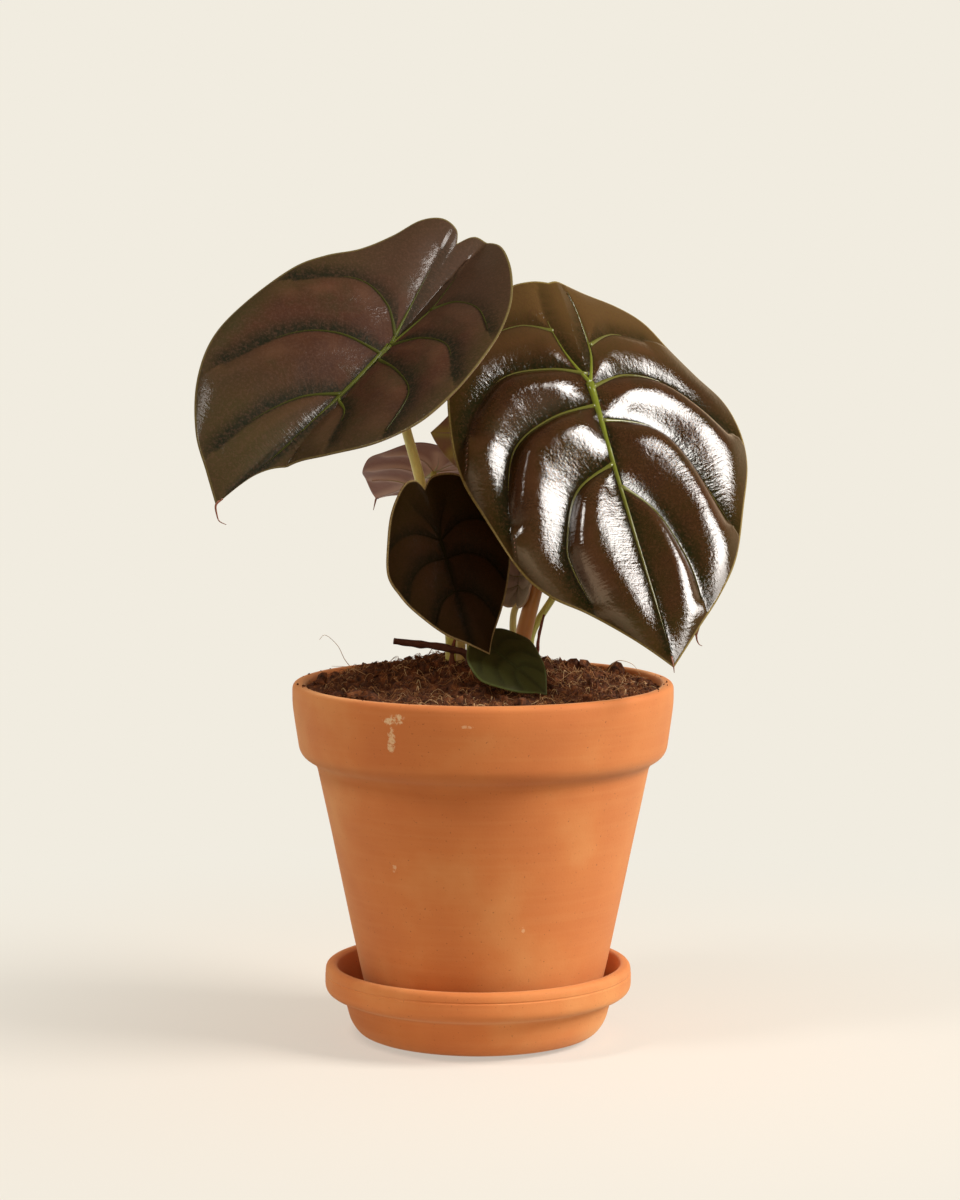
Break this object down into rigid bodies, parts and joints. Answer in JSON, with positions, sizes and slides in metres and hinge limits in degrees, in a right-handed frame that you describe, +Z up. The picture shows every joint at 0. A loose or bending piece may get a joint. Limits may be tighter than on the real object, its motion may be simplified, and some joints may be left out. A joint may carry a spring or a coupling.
{
  "type": "potted red secret alocasia",
  "caption": "Small aroid house plant with quilted copper-green heart-shaped leaves on green stalks, standing in soil in a terracotta pot on its saucer.",
  "frame": {"origin": "middle of the saucer's flat underside, where it stands on the table", "axes": "+Z up; -Y is the front, from which the two big leaves face the viewer; +X is to the viewer's right"},
  "size_m": [0.212, 0.15, 0.3225],
  "materials": {
    "terracotta": "matte",
    "soil": "matte",
    "leaf_copper": "satin",
    "leaf_green": "satin",
    "petiole": "satin",
    "dry_plant": "matte"
  },
  "bodies": {
    "root": {"saucer": "terracotta", "pot": "terracotta", "soil": "soil", "leaf_left": "leaf_copper", "petiole_left": "petiole", "leaf_right": "leaf_copper", "petiole_right": "petiole", "leaf_centre": "leaf_copper", "petiole_centre": "petiole", "leaf_back": "leaf_copper", "petiole_back": "petiole", "leaf_hidden": "leaf_copper", "petiole_hidden": "petiole", "leaf_rear": "leaf_copper", "petiole_rear": "petiole", "leaf_bud": "leaf_copper", "petiole_bud": "petiole", "leaf_low": "leaf_green", "petiole_low": "petiole", "dry_root": "dry_plant", "dry_sheath": "dry_plant", "dry_strand": "dry_plant"}
  },
  "joints": []
}
